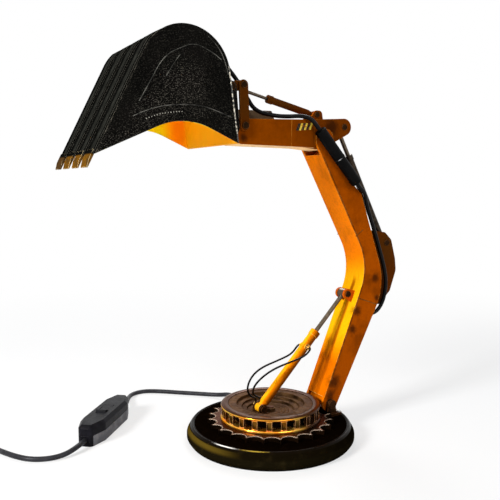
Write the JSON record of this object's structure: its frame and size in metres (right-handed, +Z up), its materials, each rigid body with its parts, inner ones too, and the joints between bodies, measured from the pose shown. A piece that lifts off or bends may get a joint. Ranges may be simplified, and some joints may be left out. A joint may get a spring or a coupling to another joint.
{
  "type": "excavator table lamp",
  "caption": "Table lamp shaped as an excavator arm on a round base, with boom, stick, rams and a tilting bucket as the shade, and an inline rocker switch on its lead.",
  "frame": {"origin": "centre of the underside of the round base, on the table", "axes": "+Z up; the bucket points along -X and the boom's foot stands on the +X side of the base; the arm lies in the plane Y = 0; the mains lead leaves along +Y"},
  "size_m": [0.5088, 0.285, 0.3875],
  "materials": {
    "black_enamel": "high gloss black enamel",
    "rubber_black": "matt",
    "iron": "rough",
    "zinc_steel": "zinc plated",
    "dark_bronze": "dark polished bronze",
    "dish_bronze": "turned, dark",
    "bracket_dark": "dark satin",
    "machine_orange": "satin orange-yellow",
    "machine_brown": "satin brown",
    "rod_steel": "ground",
    "dark_barrel": "dark grey",
    "fitting_brass": "turned",
    "cable_black": "satin",
    "plastic_black": "satin black",
    "button_black": "gloss black",
    "hammered_black": "hammered black, golden inside",
    "tooth_steel": "dark",
    "lit_glass": "warm lit bulb"
  },
  "bodies": {
    "base": {"base_pad": "rubber_black", "base_plate": "black_enamel", "ballast_disc": "iron", "base_cover": "zinc_steel", "cover_screws": "zinc_steel", "sprocket_ring": "dark_bronze", "hub_cage": "dark_bronze", "hub_core": "zinc_steel", "dish_plate": "dish_bronze", "centre_stud": "zinc_steel", "centre_nut": "zinc_steel", "cylinder_foot_bracket": "bracket_dark", "base_pins": "bracket_dark", "hose_ports": "zinc_steel", "boom_bracket": "bracket_dark", "bracket_screws": "zinc_steel", "strain_relief": "rubber_black", "cord_rear": "cable_black", "cord_front": "cable_black", "cord_coil": "cable_black", "plug_body": "plastic_black", "plug_pins": "fitting_brass", "switch_base": "plastic_black", "switch_cover": "plastic_black", "hose_front": "cable_black", "hose_rear": "cable_black"},
    "boom": {"boom_box": "machine_orange", "boom_lugs": "machine_orange", "stick_cylinder_bracket": "machine_brown", "boom_pins": "bracket_dark", "sleeve_upper": "cable_black", "sleeve_lower": "cable_black", "boom_cable": "cable_black", "cable_grommet": "rubber_black"},
    "boom_cylinder": {"boom_barrel": "machine_orange", "hose_fittings": "fitting_brass"},
    "boom_cylinder_rod": {"boom_rod": "rod_steel"},
    "stick": {"stick_box": "machine_orange", "stick_pins": "bracket_dark", "bucket_cylinder_lug": "machine_orange", "stick_cable": "cable_black", "elbow_cable": "cable_black"},
    "stick_cylinder": {"stick_barrel": "dark_barrel"},
    "stick_cylinder_rod": {"stick_rod": "rod_steel"},
    "bucket_cylinder": {"bucket_barrel": "machine_brown"},
    "bucket_cylinder_rod": {"bucket_rod": "rod_steel"},
    "rocker_pair": {"rocker": "machine_brown", "rocker_pin": "bracket_dark"},
    "link_pair": {"link_plates": "machine_brown"},
    "bucket": {"bucket_shell": "hammered_black", "bucket_ribs": "hammered_black", "tooth_tips": "tooth_steel", "bucket_ears": "hammered_black", "bucket_link_pin": "bracket_dark", "lamp_holder": "plastic_black", "holder_nut": "zinc_steel", "bulb_glass": "lit_glass", "bulb_cap": "fitting_brass", "bucket_cable": "cable_black"},
    "switch_button": {"switch_rocker": "button_black"}
  },
  "joints": [
    {"name": "boom_lift", "type": "hinge", "parent": "base", "child": "boom", "pos_m": [0.0632, 0, 0.0295], "axis": [0, 1, 0], "range_deg": [-8, 8]},
    {"name": "boom_cylinder_swing", "type": "hinge", "parent": "base", "child": "boom_cylinder", "pos_m": [-0.012, 0, 0.033], "axis": [0, 1, 0], "range_deg": [-5.6, 5.6], "deforming": ["hose_front", "hose_rear"]},
    {"name": "boom_cylinder_stroke", "type": "slide", "parent": "boom_cylinder", "child": "boom_cylinder_rod", "axis": [0.6902, 0, 0.7236], "range_m": [-0.0084, 0.0084]},
    {"name": "stick_swing", "type": "hinge", "parent": "boom", "child": "stick", "pos_m": [0.0525, 0, 0.302], "axis": [0, 1, 0], "range_deg": [-12, 12], "deforming": ["elbow_cable"]},
    {"name": "stick_cylinder_swing", "type": "hinge", "parent": "boom", "child": "stick_cylinder", "pos_m": [0.144, 0, 0.194], "axis": [0, 1, 0], "range_deg": [-0.4, 0.4]},
    {"name": "stick_cylinder_stroke", "type": "slide", "parent": "stick_cylinder", "child": "stick_cylinder_rod", "axis": [-0.466, 0, 0.8848], "range_m": [-0.0068, 0.0068]},
    {"name": "bucket_tilt", "type": "hinge", "parent": "stick", "child": "bucket", "pos_m": [-0.052, 0, 0.309], "axis": [0, 1, 0], "range_deg": [-12, 12], "deforming": ["bucket_cable"]},
    {"name": "bucket_cylinder_swing", "type": "hinge", "parent": "stick", "child": "bucket_cylinder", "pos_m": [0.0495, 0, 0.327], "axis": [0, 1, 0], "range_deg": [-1.6, 1.6]},
    {"name": "bucket_cylinder_stroke", "type": "slide", "parent": "bucket_cylinder", "child": "bucket_cylinder_rod", "axis": [-0.9729, 0, 0.2311], "range_m": [-0.008, 0.008]},
    {"name": "rocker_swing", "type": "hinge", "parent": "stick", "child": "rocker_pair", "pos_m": [-0.0395, 0, 0.3115], "axis": [0, 1, 0], "range_deg": [-12.5, 12.5]},
    {"name": "link_swing", "type": "hinge", "parent": "rocker_pair", "child": "link_pair", "pos_m": [-0.041, 0, 0.3485], "axis": [0, 1, 0], "range_deg": [-12.5, 12.5]},
    {"name": "switch_press", "type": "hinge", "parent": "base", "child": "switch_button", "pos_m": [-0.1397, 0.1065, 0.0185], "axis": [-0.7632, 0.6461, 0], "range_deg": [-14, 0]}
  ],
  "couplings": [
    {"joint": "boom_cylinder_swing", "follows": "boom_lift", "ratio": 0.6712},
    {"joint": "boom_cylinder_stroke", "follows": "boom_lift", "m_per_rad": 0.05679},
    {"joint": "stick_cylinder_swing", "follows": "stick_swing", "ratio": -0.007},
    {"joint": "stick_cylinder_stroke", "follows": "stick_swing", "m_per_rad": -0.030475},
    {"joint": "bucket_cylinder_swing", "follows": "bucket_tilt", "ratio": 0.1045},
    {"joint": "bucket_cylinder_stroke", "follows": "bucket_tilt", "m_per_rad": -0.035465},
    {"joint": "rocker_swing", "follows": "bucket_tilt", "ratio": 1},
    {"joint": "link_swing", "follows": "bucket_tilt", "ratio": -1}
  ]
}
